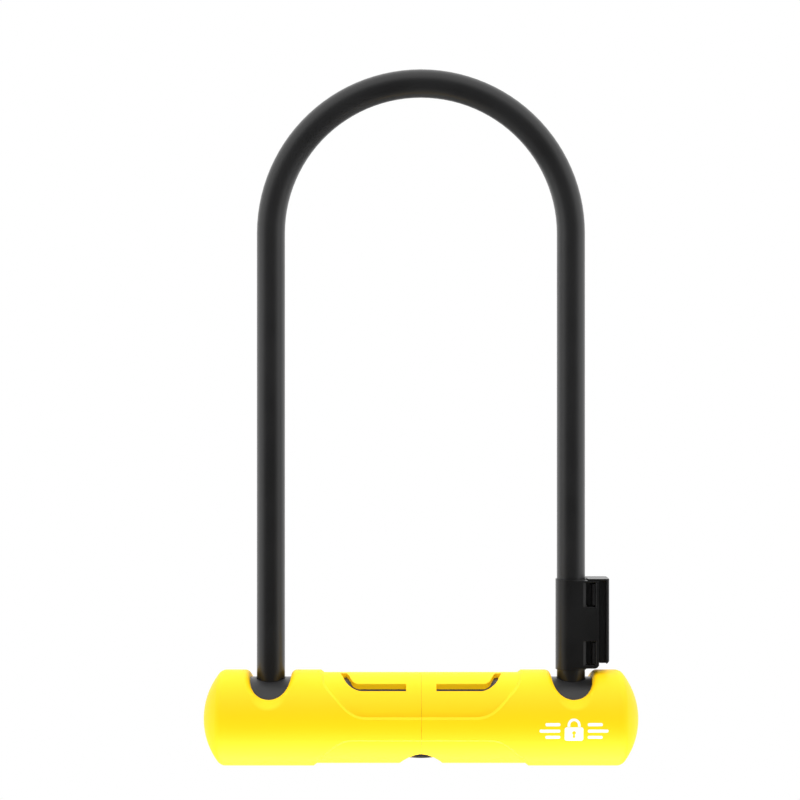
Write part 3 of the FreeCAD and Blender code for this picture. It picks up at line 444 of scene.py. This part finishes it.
def makePrintedMark():
    low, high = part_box("cover_right")
    axisHeight = (low.z + high.z) / 2
    radius = (high.z - low.z) / 2 + printedMark["lift"]
    mesh = flatPrint(padlockOutlines() + barOutlines())
    mesh.name = "printedMark"
    shape = bmesh.new()
    shape.from_mesh(mesh)
    level = -printedMark["stripReach"]
    while level < printedMark["stripReach"]:
        everything = shape.verts[:] + shape.edges[:] + shape.faces[:]
        bmesh.ops.bisect_plane(shape, geom=everything, plane_co=(0, level, 0), plane_no=(0, 1, 0))
        level += printedMark["strip"]
    for vertex in shape.verts:
        angle = (vertex.co.y - printedMark["drop"]) / radius
        vertex.co = Vector((printedMark["centre"] + vertex.co.x, -radius * math.cos(angle),
                            axisHeight + radius * math.sin(angle)))
    bmesh.ops.recalc_face_normals(shape, faces=shape.faces)
    for face in shape.faces:
        if face.normal.y > 0:
            face.normal_flip()
        face.smooth = True
    shape.to_mesh(mesh)
    shape.free()
    mark = bpy.data.objects.new("printedMark", mesh)
    mesh.materials.append(printedWhite)
    bpy.context.scene.collection.objects.link(mark)
    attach(mark, "crossbar")


makePrintedMark()
print("printed mark made")


camera = {
    "aside": -8.3 * mm,
    "distance": 685.0 * mm,
    "height": 144.6 * mm,
    "widthSeen": 317.4 * mm,     # width of the view in the plane of the lock
    "sensor": 36.0,
    "nearest": 10.0 * mm,
    "farthest": 20.0,
}


def makeCamera():
    data = bpy.data.cameras.new("productCamera")
    data.sensor_width = camera["sensor"]
    data.lens = camera["sensor"] * camera["distance"] / camera["widthSeen"]
    data.clip_start = camera["nearest"]
    data.clip_end = camera["farthest"]
    eye = bpy.data.objects.new("productCamera", data)
    eye.location = (camera["aside"], -camera["distance"], camera["height"])
    eye.rotation_euler = (math.radians(90), 0, 0)
    bpy.context.scene.collection.objects.link(eye)
    bpy.context.scene.camera = eye


# The tent has a soft opening for the lens. Its walls set what the gloss shows, and its
# roof and glowing floor set how the matt surfaces are lit.
lightTent = {
    "wallGloss": 1.4,
    "openingGloss": 0.12,
    "openingTilt": -19.0,        # degrees below the horizon
    "openingCosines": (0.25, 0.8),
    "floorGloss": 0.28,          # part of the gloss that is left where the floor shows
    "floorGlossHeights": (0.1, 0.5),
    "band": 0.9,                 # matt light from round the horizon
    "bandDip": 0.75,             # how much of it is missing in front and behind
    "dipCosines": (0.23, 0.84),
    "roof": 2.93,
    "roofHeights": (0.18, 0.98),
    "floor": 6.2,
    "floorHeights": (0.42, 0.98),
    "backdrop": 1.0,             # what the lens sees past the lock
}


def tentGloss(tree, ahead, up, down):
    tilt = math.radians(lightTent["openingTilt"])
    cosine = mathNode(tree, "ADD", mathNode(tree, "MULTIPLY", ahead, -math.cos(tilt)),
                      mathNode(tree, "MULTIPLY", up, math.sin(tilt)))
    walls = rangeNode(tree, cosine, lightTent["openingCosines"],
                      (lightTent["wallGloss"], lightTent["openingGloss"]), smooth=True)
    floorPart = rangeNode(tree, down, lightTent["floorGlossHeights"],
                          (1.0, lightTent["floorGloss"]), smooth=True)
    return mathNode(tree, "MULTIPLY", walls, floorPart)


def tentLight(tree, ahead, up, down):
    dip = lightTent["band"] * (1 - lightTent["bandDip"])
    light = rangeNode(tree, mathNode(tree, "ABSOLUTE", ahead), lightTent["dipCosines"],
                      (lightTent["band"], dip), smooth=True)
    for height, part in ((up, "roof"), (down, "floor")):
        share = rangeNode(tree, height, lightTent[part + "Heights"], (0.0, 1.0), smooth=True)
        light = blendValues(tree, share, light, lightTent[part])
    return light


def makeLightTent():
    world = bpy.data.worlds.new("lightTent")
    world.use_nodes = True
    world.cycles.sampling_method = "NONE"   # so that every ray reads the tent as its own kind
    tree = world.node_tree
    background = tree.nodes["Background"]
    background.inputs["Color"].default_value = (1, 1, 1, 1)
    split = addNode(tree, "ShaderNodeSeparateXYZ")
    tree.links.new(addNode(tree, "ShaderNodeTexCoord").outputs["Generated"], split.inputs[0])
    ahead, up = split.outputs["Y"], split.outputs["Z"]
    down = mathNode(tree, "MULTIPLY", up, -1.0)
    ray = addNode(tree, "ShaderNodeLightPath").outputs
    strength = blendValues(tree, ray["Is Glossy Ray"], tentLight(tree, ahead, up, down),
                           tentGloss(tree, ahead, up, down))
    strength = blendValues(tree, ray["Is Camera Ray"], strength, lightTent["backdrop"])
    tree.links.new(strength, background.inputs["Strength"])
    bpy.context.scene.world = world


lightTable = {
    "reach": 4.0,
    "color": (1.0, 1.0, 1.0),
    "glow": 1.0,
}


def makeLightTable():
    reach = lightTable["reach"]
    mesh = bpy.data.meshes.new("lightTable")
    corners = [(-reach, -reach, 0), (reach, -reach, 0), (reach, reach, 0), (-reach, reach, 0)]
    mesh.from_pydata(corners, [], [(0, 1, 2, 3)])
    table = bpy.data.objects.new("lightTable", mesh)
    bpy.context.scene.collection.objects.link(table)
    material = bpy.data.materials.new("whiteTable")
    material.use_nodes = True
    shader = material.node_tree.nodes["Principled BSDF"]
    shader.inputs["Base Color"].default_value = (0, 0, 0, 1)
    shader.inputs["Specular IOR Level"].default_value = 0.0
    shader.inputs["Emission Color"].default_value = (*lightTable["color"], 1)
    shader.inputs["Emission Strength"].default_value = lightTable["glow"]
    mesh.materials.append(material)
    # only the lens sees the table: the tent's lower half stands for its light
    table.visible_diffuse = False
    table.visible_glossy = False
    material.cycles.emission_sampling = "NONE"


makeCamera()
makeLightTent()
makeLightTable()
bpy.context.scene.view_settings.view_transform = "Standard"
print("studio set")
